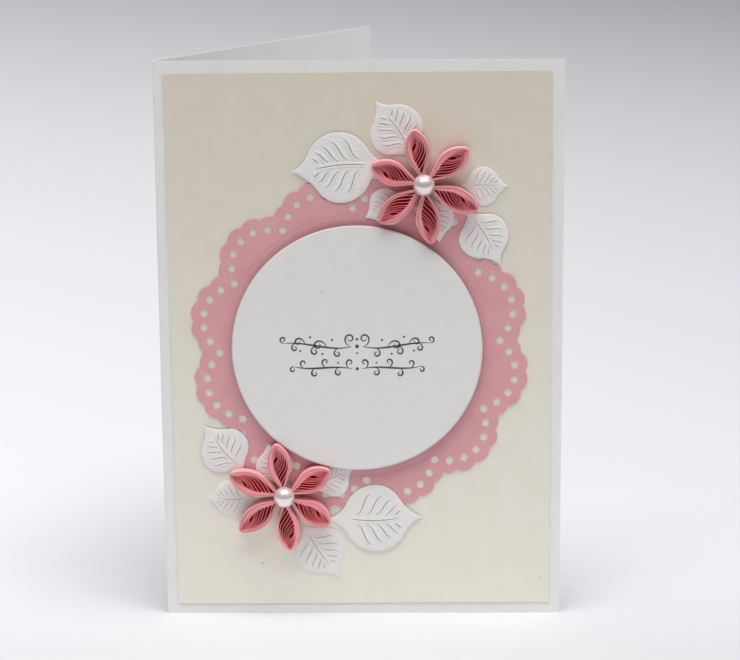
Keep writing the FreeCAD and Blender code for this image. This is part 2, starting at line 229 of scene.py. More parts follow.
def pink_paper():
    # Dyed uncoated paper: matt, lightly flecked, with a soft tooth.
    material, tree, shader, place = new_finish("dyed_uncoated_pink_paper")
    clouds = add(tree, "ShaderNodeTexNoise", {
        "Vector": place, "Scale": per_metre(5), "Detail": 5.0, "Roughness": 0.6})
    tone = add(tree, "ShaderNodeMix", {
        "Factor": clouds.outputs["Fac"], "A": colour("D09399"), "B": colour("DDA5A9")}, data_type="RGBA")
    tooth = add(tree, "ShaderNodeTexNoise", {"Vector": place, "Scale": per_metre(0.5), "Detail": 3.0})
    relief = add(tree, "ShaderNodeBump", {
        "Height": tooth.outputs["Fac"], "Strength": 0.8, "Distance": 0.06 * MM})
    off_line = add(tree, "ShaderNodeMath", {
        0: from_middle(tree, place, "scalloped_doily"), 1: PRESSED_LINE_RADIUS}, operation="SUBTRACT")
    off_line = add(tree, "ShaderNodeMath", {0: off_line.outputs["Value"]}, operation="ABSOLUTE")
    line = add(tree, "ShaderNodeMapRange", {
        "Value": off_line.outputs["Value"], "From Max": PRESSED_LINE_WIDTH},
        interpolation_type="SMOOTHSTEP")
    relief = add(tree, "ShaderNodeBump", {
        "Height": line.outputs["Result"], "Strength": 1.0, "Distance": 0.028 * MM,
        "Normal": relief.outputs["Normal"]})
    feed(tree, shader, {
        "Base Color": tone.outputs["Result"], "Normal": relief.outputs["Normal"], "Roughness": 0.8})
    return material


PINK_PAPER = pink_paper()

# %% [markdown]
# ## Linen card
# The plaque is white card that ran between rollers wrapped in linen, so it carries the print of
# crossing threads. Two sets of bands, one across and one up, are pressed in with a bump, and the
# ones across are much the stronger. Linen threads are about 0.4 mm apart. These are 0.8 mm apart,
# so that the weave shows. The punch that cut the disc pulled its rim down a little, which a second
# bump draws. Four small flecks of dust, two here and two on the mat, are mixed in by their
# distance from a place.

# %% Linen card
THREAD_PITCH = 0.8
WAVE_RATE = 20
CUT_ROLL = 0.35 * MM


def linen_card():
    # Linen-embossed card: matt white with a faint crossed thread pattern.
    material, tree, shader, place = new_finish("linen_embossed_card")
    wobble = add(tree, "ShaderNodeTexNoise", {"Vector": place, "Scale": per_metre(4), "Detail": 2.0})
    # At a scale of 1, a wave texture runs through WAVE_RATE radians a metre.
    across, up = (add(tree, "ShaderNodeTexWave",
                      {"Vector": place, "Scale": per_metre(THREAD_PITCH) * math.tau / WAVE_RATE,
                       "Distortion": 1.5, "Detail": 2.0, "Detail Scale": 1.2},
                      bands_direction=axis) for axis in ("Z", "X"))
    crossing = add(tree, "ShaderNodeMix", {
        "Factor": 0.12, "A": across.outputs["Fac"], "B": up.outputs["Fac"]})
    relief = add(tree, "ShaderNodeBump", {
        "Height": crossing.outputs["Result"], "Strength": 0.3, "Distance": 0.04 * MM})
    low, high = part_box("round_plaque")
    rim = (high.x - low.x) / 2
    fall = add(tree, "ShaderNodeMapRange", {
        "Value": from_middle(tree, place, "round_plaque"), "From Min": rim - CUT_ROLL, "From Max": rim,
        "To Min": 1.0, "To Max": 0.0})
    relief = add(tree, "ShaderNodeBump", {
        "Height": fall.outputs["Result"], "Strength": 1.0, "Distance": 0.2 * MM,
        "Normal": relief.outputs["Normal"]})
    tone = add(tree, "ShaderNodeMix", {
        "Factor": wobble.outputs["Fac"], "A": colour("DCDAD7"), "B": colour("E1DFDD")}, data_type="RGBA")
    flecked = with_specks(tree, place, tone.outputs["Result"], "round_plaque",
                          [(-9.9, 88.4, 0.45, 0.4), (5.8, 86.7, 0.4, 0.3)])
    feed(tree, shader, {"Base Color": flecked, "Normal": relief.outputs["Normal"], "Roughness": 0.7})
    return material


LINEN_CARD = linen_card()

# %% [markdown]
# ## Foam
# The pads under the plaque are closed-cell foam tape. They are seen only from low at the side, as
# a row of tiny bubbles cut open, which a Voronoi pattern gives at once. Each pit is painted a
# little greyer towards its middle: painted shade.

# %% Foam
def white_foam():
    # Closed-cell polyethylene foam, die-cut: white, matt and pitted all over.
    material, tree, shader, place = new_finish("closed_cell_foam_die_cut")
    cells = add(tree, "ShaderNodeTexVoronoi", {"Vector": place, "Scale": per_metre(0.4)})
    # Painted shade: each pit is painted greyer towards its middle.
    tone = add(tree, "ShaderNodeMix", {
        "Factor": cells.outputs["Distance"], "A": colour("D2D2D0"), "B": colour("ECECEA")},
        data_type="RGBA")
    relief = add(tree, "ShaderNodeBump", {
        "Height": cells.outputs["Distance"], "Strength": 0.8, "Distance": 0.1 * MM})
    feed(tree, shader, {
        "Base Color": tone.outputs["Result"], "Normal": relief.outputs["Normal"], "Roughness": 0.9})
    return material


WHITE_FOAM = white_foam()

# %% [markdown]
# ## Dress the flat layers
# The CAD shapes of the flat layers are right, so they stay. Each only gets its finish.

# %% Flat layers
FLAT_LAYERS = {
    "folded_card": WHITE_CARD,
    "cream_mat": PEARL_PAPER,
    "scalloped_doily": PINK_PAPER,
    "plaque_foam_pads": WHITE_FOAM,
    "round_plaque": LINEN_CARD,
}
for node, finish in FLAT_LAYERS.items():
    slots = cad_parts[node].data.materials
    slots.clear()
    slots.append(finish)
    print(node, "is now", finish.name)

# %% [markdown]
# ## How a finished piece joins the card
# The bmesh holds a piece while it is shaped. To finish it, doubled points are merged, the faces
# are turned outwards, and the piece is moved to its place inside its own mesh. Its object stays at
# the origin, so that patterns on Object coordinates stay where they are.

# %% Finishing a piece
# Points closer than a hair are one. Edges that turn by more than the sharp angle stay crisp.
HAIR = 1e-7
SHARP_ANGLE = math.radians(40)


def as_object(bm, name, finish):
    """Makes the bmesh an object with a finish."""
    mesh = bpy.data.meshes.new(name)
    bm.to_mesh(mesh)
    bm.free()
    mesh.materials.append(finish)
    thing = bpy.data.objects.new(name, mesh)
    bpy.context.scene.collection.objects.link(thing)
    print(name, "has", len(mesh.polygons), "faces")
    return thing


def finished(bm, name, move, finish, node=None):
    """Makes the bmesh a piece of the card, in place of a CAD node where one is named."""
    bmesh.ops.remove_doubles(bm, verts=bm.verts, dist=HAIR)
    bmesh.ops.recalc_face_normals(bm, faces=bm.faces)
    bm.transform(move)
    piece = as_object(bm, name, finish)
    piece.data.shade_smooth()
    piece.data.set_sharp_from_angle(angle=SHARP_ANGLE)
    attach(piece, "root")
    if node:
        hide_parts(node)


print("edges that turn by more than", round(math.degrees(SHARP_ANGLE)), "degrees stay crisp")

# %% [markdown]
# ## Quilling paper
# Quilling strip is light paper dyed pink. Deep between the turns the light bounces from pink to
# pink until only a dark red is left. The renderer follows a few of those bounces, and a stored
# value adds the rest as painted shade: it tells the finish how far inside the coil a place lies,
# and the strip's face is painted from pink to strong red with it. Another value, "cut_edge",
# marks the edges that the blade left, which the painted shade only takes from light pink to a
# duller one. A weak sheen stands for loose fibres.

# %% Quilling paper
# How much painted shade a place has stored when its painted red is at its strongest.
FULL_SHADE_AT = 0.3


def quilling_paper():
    # Dyed quilling strip, guillotine-cut: matt and soft, a little uneven in its dye.
    material, tree, shader, place = new_finish("dyed_quilling_strip")
    dye = add(tree, "ShaderNodeTexNoise", {"Vector": place, "Scale": per_metre(1.6), "Detail": 4.0})
    face = add(tree, "ShaderNodeMix", {
        "Factor": dye.outputs["Fac"], "A": colour("F5A2A8"), "B": colour("F9AFB4")}, data_type="RGBA")
    painted_shade = add(tree, "ShaderNodeAttribute", attribute_name="painted_shade").outputs["Fac"]
    deep = add(tree, "ShaderNodeMapRange", {"Value": painted_shade, "From Max": FULL_SHADE_AT})
    # Painted shade: faces are painted from pink to strong red, and cut edges to a duller pink, the deeper
    # they lie.
    inner = add(tree, "ShaderNodeMix", {
        "Factor": deep.outputs["Result"], "A": face.outputs["Result"], "B": colour("EC2023")},
        data_type="RGBA")
    edge = add(tree, "ShaderNodeMix", {
        "Factor": deep.outputs["Result"], "A": colour("FAA7AC"), "B": colour("E87A7F")}, data_type="RGBA")
    cut = add(tree, "ShaderNodeAttribute", attribute_name="cut_edge").outputs["Fac"]
    tone = add(tree, "ShaderNodeMix", {
        "Factor": cut, "A": inner.outputs["Result"], "B": edge.outputs["Result"]}, data_type="RGBA")
    tooth = add(tree, "ShaderNodeTexNoise", {"Vector": place, "Scale": per_metre(0.3), "Detail": 2.0})
    relief = add(tree, "ShaderNodeBump", {
        "Height": tooth.outputs["Fac"], "Strength": 0.3, "Distance": 0.03 * MM})
    feed(tree, shader, {
        "Base Color": tone.outputs["Result"], "Normal": relief.outputs["Normal"], "Roughness": 0.5,
        "Sheen Weight": 0.3, "Sheen Roughness": 0.4, "Sheen Tint": colour("F5A0A5")})
    return material


QUILLING_PAPER = quilling_paper()

# %% [markdown]
# ## The line a petal's strip follows
# A petal is one strip, wound into a loose coil, glued at one side and pinched. Its first turns
# lie tight and make the wall. Inside the wall each turn hugs the glued side on its way out, hugs
# the other side on its way back from the tip, and sweeps across again towards the flower. The
# outer turns fill the petal and the last is only a slanted slit, the coil's eye. So the line is
# worked out turn by turn: first how wide the petal still is inside the turns already wound, then
# where in that width this turn runs.

# %% A petal's line
FLOWER_RADIUS = 15.5 * MM
PETAL_WIDTH = 6.3 * MM
PETAL_TIP_RADIUS = 1.3 * MM
PETAL_START = 0.9 * MM
PETAL_FLANK = math.radians(26)
STRIP_THICKNESS = 0.14 * MM
WALL_SLACK = 0.14 * MM
COIL_SLACK = 0.02 * MM
WALL_TURNS = 3
COIL_TURNS = 7
ALL_TURNS = WALL_TURNS + COIL_TURNS
POINTS_A_TURN = 400
LINE_STEP = 0.15 * MM
HALVINGS = 60
# The eye is a slit this long, where the last turn falls short of the far side by this share.
EYE_LENGTH = 2.1 * MM
EYE_FALL = 0.5
# The turns' near ends step unevenly towards the eye. A high power packs their far ends.
LEAST_STEP, MOST_STEP = 0.65, 1.35
PACKING_POWER = 4
# How long a turn hugs the glued side on its way out, and the other side on its way back. The
# outer turns hug longest.
HUG_GLUED, HUG_OTHER, HUG_LEAST = 6.0, 1.25, 0.4
LEAST_SHARE = 0.02


def side_arc(reach):
    """Radius and centre of the arc that touches the flank, the full width and the tip."""
    # The radius has no short formula, so its range is halved until it fits.
    half = PETAL_WIDTH / 2
    low, high = half, 10 * reach
    for _ in range(HALVINGS):
        radius = (low + high) / 2
        centre_x = PETAL_START + ((radius + (half - radius) * math.cos(PETAL_FLANK))
                                  / math.sin(PETAL_FLANK))
        to_tip = math.hypot(reach - PETAL_TIP_RADIUS - centre_x, half - radius)
        if to_tip > radius - PETAL_TIP_RADIUS:
            low = radius
        else:
            high = radius
    return radius, centre_x, half - radius


def half_width_inside(x, inset, reach):
    """Half the petal's width at x, inside a wall as thick as inset."""
    radius, centre_x, centre_y = side_arc(reach)
    tip_x = reach - PETAL_TIP_RADIUS
    arrive = math.atan2(-centre_y, tip_x - centre_x)
    side_radius, tip_radius = radius - inset, PETAL_TIP_RADIUS - inset
    flank = (x - PETAL_START - inset / math.sin(PETAL_FLANK)) * math.tan(PETAL_FLANK)
    side = centre_y + np.sqrt(np.maximum(side_radius ** 2 - (x - centre_x) ** 2, 0))
    tip = np.sqrt(np.maximum(tip_radius ** 2 - (x - tip_x) ** 2, 0))
    width = np.where(x < centre_x - side_radius * math.sin(PETAL_FLANK), flank, side)
    past_side = (tip_radius > 0) & (x > centre_x + side_radius * math.cos(arrive))
    return np.maximum(np.where(past_side, tip, width), 0)


def uneven(turns, least, most):
    """Grows turn by turn from 0, by steps as uneven as a hand winds them."""
    last = math.ceil(turns.max())
    knots = np.concatenate([[0], np.cumsum(rng.uniform(least, most, last))])
    return np.interp(turns, np.arange(last + 1), knots)


def strip_line(reach, eye_place, packed):
    """The whole winding, from the outside of the wall to the eye of the coil."""
    turns = np.linspace(0, ALL_TURNS, POINTS_A_TURN * ALL_TURNS + 1)
    inset = (STRIP_THICKNESS / 2
             + uneven(np.minimum(turns, WALL_TURNS), STRIP_THICKNESS, STRIP_THICKNESS + WALL_SLACK)
             + uneven(turns - WALL_TURNS, STRIP_THICKNESS, STRIP_THICKNESS + COIL_SLACK))
    share = np.clip((turns - WALL_TURNS) / COIL_TURNS, 0, 1)
    wall = np.interp(np.minimum(turns, WALL_TURNS), turns, inset)
    left = PETAL_START + wall / math.sin(PETAL_FLANK)
    drawn_out = uneven(turns - WALL_TURNS, LEAST_STEP, MOST_STEP)
    left = left + (eye_place * reach - EYE_LENGTH / 2 - left) * drawn_out / drawn_out.max()
    right = reach - wall
    drawn_in = (1 - packed) * share + packed * share ** PACKING_POWER
    right = right + (eye_place * reach + EYE_LENGTH / 2 - right) * drawn_in
    phase = turns % 1
    along = (1 - np.cos(math.tau * phase)) / 2
    x = left + (right - left) * along
    gone_in = np.maximum(share, LEAST_SHARE)
    fall = 1 - EYE_FALL * share ** 2
    leaving = fall * along ** (HUG_GLUED / gone_in)
    crossing = fall * (1 - (1 - along) ** (HUG_OTHER / gone_in + HUG_LEAST))
    outwards = phase < 0.5
    in_wall = np.where(outwards, 1, -1)
    in_coil = 1 - 2 * np.where(outwards, leaving, crossing)
    y = half_width_inside(x, inset, reach) * np.where(turns < WALL_TURNS, in_wall, in_coil)
    gone = np.concatenate([[0], np.cumsum(np.hypot(np.diff(x), np.diff(y)))])
    even = np.linspace(0, gone[-1], round(gone[-1] / LINE_STEP))
    return np.column_stack([np.interp(even, gone, x), np.interp(even, gone, y)])


rng = np.random.default_rng(seed=7)
sample = strip_line(FLOWER_RADIUS, eye_place=0.7, packed=0.5)
length = np.linalg.norm(np.diff(sample, axis=0), axis=1).sum()
print("one petal takes", round(length * 1000), "mm of strip")

# %% [markdown]
# ## Thin sheets
# A wound strip, a film of glue and a stroke of a pen are all thin sheets. A sweep along a curve
# would make them too, but each point here has to know how deep in the coil it lies. So each
# starts as a flat grid with a second skin below it, closed at its edges, and one function sends
# all of its points to their places at once.

# %% A thin sheet
def reshaped(bm, shape_of):
    """Moves all points at once to where shape_of puts them."""
    points = np.array([v.co for v in bm.verts])
    for vertex, place in zip(bm.verts, shape_of(points)):
        vertex.co = place


def thick_sheet(columns, rows):
    """A flat grid from -1 to 1 with a second skin one unit below it, closed at its edges."""
    bm = bmesh.new()
    bmesh.ops.create_grid(bm, x_segments=columns, y_segments=rows, size=1)
    under = bmesh.ops.extrude_face_region(bm, geom=bm.faces, use_keep_orig=True)["geom"]
    under_points = [v for v in under if isinstance(v, bmesh.types.BMVert)]
    bmesh.ops.translate(bm, verts=under_points, vec=(0, 0, -1))
    return bm


def column_of(points, columns):
    """The column of a thick sheet that each point stands on."""
    return np.rint((points[:, 0] + 1) / 2 * columns).astype(int)


def right_of(line):
    """The direction square to a line, to its right, at each of its points."""
    heading = np.gradient(line, axis=0)
    heading /= np.linalg.norm(heading, axis=1)[:, None]
    return np.stack([heading[:, 1], -heading[:, 0]], axis=1)


def store(bm, name, values):
    """Stores a value with each point, for the finish to read."""
    layer = bm.verts.layers.float.new(name)
    for vertex, value in zip(bm.verts, values):
        vertex[layer] = value


def joined(bm, other):
    """Adds another shape to a piece and frees it."""
    part = bpy.data.meshes.new("part")
    other.to_mesh(part)
    other.free()
    bm.from_mesh(part)
    bpy.data.meshes.remove(part)


sheet = thick_sheet(4, 1)
print("a thick sheet of 4 by 1 cells has", len(sheet.faces), "faces")
sheet.free()

# %% [markdown]
# ## Winding the strip
# The strip starts straight: a grid one face high, with a second skin that gives it thickness.
# Winding it means sending each cross-section to its point on the line, turned square to it. No
# two turns stand quite level on a real coil, so each is pushed up or down by a hair. Each point
# stores how much painted shade its place gets. The foot of the coil stands in a film of glue that
# closes the petal at the back, and the film is painted the full red of the painted shade.

# %% Wind a petal
LEVEL_SLIP = 0.09 * MM
GLUE_THICKNESS = 0.05 * MM
GLUE_CELLS = (48, 2)
# The outermost turns get no painted shade down to their foot. Inside the rim the upper edge
# gets a little painted shade.
UNSHADED_TURNS = 1.5
RIM_WIDTH = 0.9 * MM
RIM_EDGE_SHADE = 0.3
# A face that looks up or down as squarely as this is a cut edge.
EDGE_FACING = 0.7


def wound_strip(line, width, reach):
    """The strip, wound along the line and standing on the table on one of its edges."""
    columns = len(line) - 1
    bm = thick_sheet(columns, 1)
    aside = right_of(line)
    knots = rng.uniform(-LEVEL_SLIP, LEVEL_SLIP, 2 * ALL_TURNS)
    slip = np.interp(np.linspace(0, 1, columns + 1), np.linspace(0, 1, len(knots)), knots)
    last_unshaded = columns / ALL_TURNS * UNSHADED_TURNS
    painted_shade_levels = []

    def wind(points):
        column = column_of(points, columns)
        flat = line[column] + aside[column] * ((points[:, 2] + 0.5) * STRIP_THICKNESS)[:, None]
        upper = points[:, 1] > 0
        height = (points[:, 1] + 1) / 2 * width + np.where(upper, slip[column], 0)
        inside = half_width_inside(flat[:, 0], 0, reach) - np.abs(flat[:, 1])
        inner = np.clip((inside - RIM_WIDTH) / RIM_WIDTH, 0, 1)
        painted_shade_levels.extend(np.where(upper, RIM_EDGE_SHADE * inner, column > last_unshaded))
        return np.column_stack([flat, height])

    reshaped(bm, wind)
    # Painted shade: each point stores how much painted shade its place gets.
    store(bm, "painted_shade", painted_shade_levels)
    edge_layer = bm.faces.layers.float.new("cut_edge")
    for face in bm.faces:
        face.normal_update()
        face[edge_layer] = float(abs(face.normal.z) > EDGE_FACING)
    return bm


def glue_film_in_shade(reach):
    """The skin of glue that the coil's foot stands in, painted in the full red of painted shade."""
    film = thick_sheet(*GLUE_CELLS)
    inset = (STRIP_THICKNESS + WALL_SLACK / 2) * WALL_TURNS / 2
    left, right = PETAL_START + inset / math.sin(PETAL_FLANK), reach - inset

    def spread(points):
        x = left + (right - left) * (1 + np.sin(points[:, 0] * np.pi / 2)) / 2
        y = points[:, 1] * half_width_inside(x, inset, reach)
        return np.column_stack([x, y, (points[:, 2] + 1) * GLUE_THICKNESS])

    reshaped(film, spread)
    film.faces.layers.float.new("cut_edge")
    # Painted shade: the whole glue film is painted the strongest red.
    store(film, "painted_shade", [1.0] * len(film.verts))
    return film


# Each petal as its direction in degrees, its reach as a share of the flower's radius, the side on
# which the coil is glued, how far out the coil's eye sits as a share of the reach, and how much
# its turns are packed at the tip.
FLOWERS = {
    "top": [(100.2, 0.926, 1, 0.67, 0.6), (38.6, 0.942, 1, 0.66, 0.55), (-25.7, 1, 1, 0.68, 0.1),
            (-82.9, 1, -1, 0.71, 0.55), (-139.8, 0.974, 1, 0.69, 0.2), (159.8, 0.929, 1, 0.68, 0.3)],
    "bottom": [(98.0, 0.929, 1, 0.69, 0.55), (30.2, 0.897, 1, 0.66, 0.2), (-32.2, 0.916, 1, 0.68, 0.2),
               (-85.0, 0.968, 1, 0.7, 0.1), (-141.6, 0.987, -1, 0.69, 0.3), (157.5, 1.006, 1, 0.69, 0.2)],
}
for flower, petals in FLOWERS.items():
    centre = middle(f"{flower}_pearl")
    for number, (direction, share, coil_side, eye_place, packed) in enumerate(petals, 1):
        node = f"{flower}_petal_{number}"
        low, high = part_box(node)
        line = strip_line(share * FLOWER_RADIUS, eye_place, packed) * (1, coil_side)
        bm = wound_strip(line, high.y - low.y, share * FLOWER_RADIUS)
        joined(bm, glue_film_in_shade(share * FLOWER_RADIUS))
        finished(bm, f"quilled_{node}", glued_at(centre.x, high.y, centre.z, direction),
                 QUILLING_PAPER, node)

# %% [markdown]
# ## Leaf paper
# The leaves are thick white paper, cut and embossed in one press of a die. The dry paper keeps a
# toothy surface. The pressed veins get painted shade: a stored value, "vein", tints the paper a
# grey brown along each crease.

# %% Leaf paper
def leaf_paper():
    # Embossed watercolour paper: white, matt, with a toothy surface and painted shade in its creases.
    material, tree, shader, place = new_finish("embossed_watercolour_paper")
    vein = add(tree, "ShaderNodeAttribute", attribute_name="vein").outputs["Fac"]
    clouds = add(tree, "ShaderNodeTexNoise", {"Vector": place, "Scale": per_metre(2.5), "Detail": 4.0})
    paper = add(tree, "ShaderNodeMix", {
        "Factor": clouds.outputs["Fac"], "A": colour("DEDCD9"), "B": colour("EAE8E5")}, data_type="RGBA")
    # Painted shade: the paper is painted grey brown along the creases.
    tone = add(tree, "ShaderNodeMix", {
        "Factor": vein, "A": paper.outputs["Result"], "B": colour("8E7E74")}, data_type="RGBA")
    tooth = add(tree, "ShaderNodeTexNoise", {"Vector": place, "Scale": per_metre(0.6), "Detail": 4.0})
    relief = add(tree, "ShaderNodeBump", {
        "Height": tooth.outputs["Fac"], "Strength": 1.0, "Distance": 0.16 * MM})
    feed(tree, shader, {
        "Base Color": tone.outputs["Result"], "Normal": relief.outputs["Normal"], "Roughness": 0.85})
    return material


LEAF_PAPER = leaf_paper()

# %% [markdown]
# ## A leaf's outline
# Each quarter of a leaf is a round arc from the widest point and then a hollow flank that runs out
# to the point. A leaf is FULL on a side that stays round almost to the point, LEAN on one that
# draws in early, and a STEM where it ends in a stalk. Here the outline is asked for as a half
# width at any place along the leaf.

# %% A leaf's half width
# Each shape as the radius of its round arc and the radius of its hollow flank, in half widths.
FULL = (0.92, 0.9)
LEAN = (0.76, 1.6)
STEM = (0.92, 0.8)
# Each die as half its width, its reach to the tip and to the base in half widths, the shape of
# its base and the shape of its fuller side at the tip.
DIES = {
    "large": (9.15 * MM, 1.34, 1.55, STEM, FULL),
    "broad": (7.0 * MM, 1.34, 1.16, LEAN, FULL),
    "medium": (6.5 * MM, 1.34, 1.16, LEAN, FULL),
    "small": (5.0 * MM, 1.26, 1.16, LEAN, LEAN),
}


def half_width_at(x, half_width, reach, shape):
    """How far the edge is from the leaf's axis at the distance x from its widest place."""
    round_radius, flank = (share * half_width for share in shape)
    centre_y = half_width - round_radius
    away = math.hypot(reach * half_width, centre_y)
    far = round_radius + flank
    spread = math.acos((far ** 2 + away ** 2 - flank ** 2) / (2 * far * away))
    bearing = math.atan2(-centre_y, reach * half_width) + spread
    touch_x = round_radius * math.cos(bearing)
    flank_x, flank_y = far * math.cos(bearing), centre_y + far * math.sin(bearing)
    on_round = centre_y + np.sqrt(np.maximum(round_radius ** 2 - x ** 2, 0))
    on_flank = flank_y - np.sqrt(np.maximum(flank ** 2 - (x - flank_x) ** 2, 0))
    return np.maximum(np.where(x < touch_x, on_round, on_flank), 0)


def leaf_edge(x, left, die, hand):
    """The leaf's half width at x, on its left side or its right."""
    half_width, tip_reach, base_reach, base_shape, tip_shape = die
    full = half_width_at(x, half_width, tip_reach, tip_shape)
    lean = half_width_at(x, half_width, tip_reach, LEAN)
    base = half_width_at(-x, half_width, base_reach, base_shape)
    tip = np.where(left == (hand > 0), full, lean)
    return np.where(x < 0, base, tip)


half_width, tip_reach, base_reach = DIES["large"][:3]
print("a large leaf is", round(half_width * (tip_reach + base_reach) / MM, 1), "mm long")

# %% [markdown]
# ## Veins and relief
# The die presses a midrib and five veins a side as curved creases, deepest in their middle. The
# paper swells beside each crease and rolls down at the leaf's edge. A small die presses less
# deeply than a large one. All of it is a height over the plane: a grid is drawn out to the
# outline, and each of its points is raised or pressed. That keeps the leaf one clean skin, which
# carving crease by crease would not.

# %% Press the leaves
GRID_STEP = 0.12 * MM
CREASE_DEPTH = 0.2 * MM
CREASE_WIDTH = 0.09 * MM
CREASE_POINTS = 28
# The lower this power is, the more suddenly a crease ends.
END_POWER = 0.4
SWELL_WIDTH = 0.38 * MM
EDGE_ROLL = 0.55 * MM
# How deeply a die presses grows with its size to this power.
PRESSURE_POWER = 0.8
# Shares of the leaf's thickness: the height at the edge, and what roll and swelling add to it.
EDGE_SHARE, ROLL_SHARE, SWELL_SHARE = 0.45, 0.3, 0.25
# The midrib and where the veins start, in half widths from the leaf's widest place.
MIDRIB_ENDS, MIDRIB_BOW = (-0.76, 0.7), 0.1
VEINS_A_SIDE = 5
FIRST_VEIN, VEINS_SPREAD, VEIN_GAP, VEIN_SHIFT = -0.57, 1.4, 0.14, 0.04
# The first vein's length in half widths, how the next ones shorten, and the bow in vein lengths.
VEIN_LENGTH, VEIN_SHORTENING, VEIN_BOW = 0.78, 1.06, 0.2
# How far the first veins lean off the midrib, and how much less the last ones do, in degrees.
BASE_LEAN, LEAN_LOSS = 55, 30


def crease(start, end, first_bow, last_bow):
    """A crease as points on a smooth curve, each with how deep it is there."""
    along = end - start
    side = np.array([-along[1], along[0]]) / np.hypot(*along)
    bend_1 = start + along / 3 + side * first_bow
    bend_2 = start + along * 2 / 3 + side * last_bow
    t = np.linspace(0, 1, CREASE_POINTS)[:, None]
    points = ((1 - t) ** 3 * start + 3 * t * (1 - t) ** 2 * bend_1
              + 3 * t ** 2 * (1 - t) * bend_2 + t ** 3 * end)
    return np.column_stack([points, np.sin(np.pi * t) ** END_POWER])


def creases(half_width, hand):
    """The midrib and the veins of a leaf that is this wide."""
    bow = hand * MIDRIB_BOW * half_width
    foot, head = (np.array([end, 0]) * half_width for end in MIDRIB_ENDS)
    lines = [crease(foot, head, bow, bow)]
    for side in (1, -1):
        for i in range(VEINS_A_SIDE):
            share = i / VEINS_A_SIDE
            start = np.array([FIRST_VEIN + VEINS_SPREAD * share,
                              side * VEIN_GAP + hand * VEIN_SHIFT]) * half_width
            length = VEIN_LENGTH * half_width * (1 - (VEIN_SHORTENING * share) ** 2)
            lean = math.radians(side * (BASE_LEAN - LEAN_LOSS * share))
            end = start + length * np.array([math.cos(lean), math.sin(lean)])
            lines.append(crease(start, end, -side * VEIN_BOW * length, side * VEIN_BOW * length))
    return lines


def nearest_crease(lines, x, y):
    """How far each point is from the nearest crease, and how deep that crease is there."""
    gap, depth = np.full(len(x), np.inf), np.zeros(len(x))
    for line in lines:
        for (ax, ay, a_depth), (bx, by, b_depth) in zip(line, line[1:]):
            share = ((x - ax) * (bx - ax) + (y - ay) * (by - ay)) / ((bx - ax) ** 2 + (by - ay) ** 2)
            share = np.clip(share, 0, 1)
            away = np.hypot(x - ax - share * (bx - ax), y - ay - share * (by - ay))
            depth = np.where(away < gap, a_depth + share * (b_depth - a_depth), depth)
            gap = np.minimum(gap, away)
    return gap, depth


def pressed_leaf(die, hand, thickness):
    """A leaf as the die leaves it, lying on the table."""
    half_width, tip_reach, base_reach = die[:3]
    columns = round(half_width * (tip_reach + base_reach) / GRID_STEP)
    rows = 2 * round(half_width / GRID_STEP)
    pressure = (half_width / DIES["large"][0]) ** PRESSURE_POWER
    bm = bmesh.new()
    bmesh.ops.create_grid(bm, x_segments=columns, y_segments=rows, size=1)
    shade = []

    def press(points):
        x = np.interp(points[:, 0], (-1, 1), (-base_reach * half_width, tip_reach * half_width))
        edge = leaf_edge(x, points[:, 1] > 0, die, hand)
        y = points[:, 1] * edge
        gap, depth = nearest_crease(creases(half_width, hand), x, y)
        groove = depth * np.exp(-(gap / CREASE_WIDTH) ** 2)
        swell = depth * np.exp(-((gap - SWELL_WIDTH) / SWELL_WIDTH) ** 2)
        roll = 1 - np.exp(-(1 - np.abs(points[:, 1])) * edge / EDGE_ROLL)
        shade.extend(pressure * groove)
        rise = EDGE_SHARE + ROLL_SHARE * roll + SWELL_SHARE * pressure * swell * roll
        return np.column_stack([x, y, thickness * rise - CREASE_DEPTH * pressure * groove])

    reshaped(bm, press)
    store(bm, "vein", shade)
    bmesh.ops.remove_doubles(bm, verts=bm.verts, dist=HAIR)
    rim = [edge for edge in bm.edges if edge.is_boundary]
    wall = bmesh.ops.extrude_edge_only(bm, edges=rim)["geom"]
    for vertex in wall:
        if isinstance(vertex, bmesh.types.BMVert):
            vertex.co.z = 0
    back = [edge for edge in wall if isinstance(edge, bmesh.types.BMEdge) and edge.is_boundary]
    bmesh.ops.edgeloop_fill(bm, edges=back)
    return bm


# Each leaf as its die, the hand of its fuller side (1 is left of the tip) and its direction in
# degrees.
LEAVES = {
    "top": [("large", -1, 184.5), ("broad", -1, 124.0), ("small", 1, 0.0), ("medium", 1, -59.0),
            ("small", 1, -78.0), ("small", 1, 208.0)],
    "bottom": [("small", 1, 105.0), ("small", 1, 29.0), ("large", -1, 1.0), ("broad", -1, -57.0),
               ("small", 1, 180.0), ("medium", 1, 129.0)],
}
for flower, leaves in LEAVES.items():
    for number, (die, hand, direction) in enumerate(leaves, 1):
        node = f"{flower}_leaf_{number}"
        low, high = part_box(node)
        bm = pressed_leaf(DIES[die], hand, high.y - low.y)
        turned = Matrix.Rotation(math.radians(direction), 3, "Z")
        spread = np.array([turned @ v.co for v in bm.verts])
        own_middle = (spread.min(axis=0) + spread.max(axis=0)) / 2
        place = middle(node)
        move = glued_at(place.x - own_middle[0], high.y, place.z - own_middle[1], direction)
        finished(bm, f"embossed_{node}", move, LEAF_PAPER, node)

# %% [markdown]
# ## Pearls
# A half-round pearl is a moulded plastic bead with a nacre lacquer, and a flat back for glue. It
# starts as a sphere, one plane cuts it a little below its middle, and the cut is filled. Nacre
# is fine flakes that mirror half of the light softly. So the lamp shows as a white patch near the
# top, the dark room as a dim band across the middle and the pale table as a bright foot.

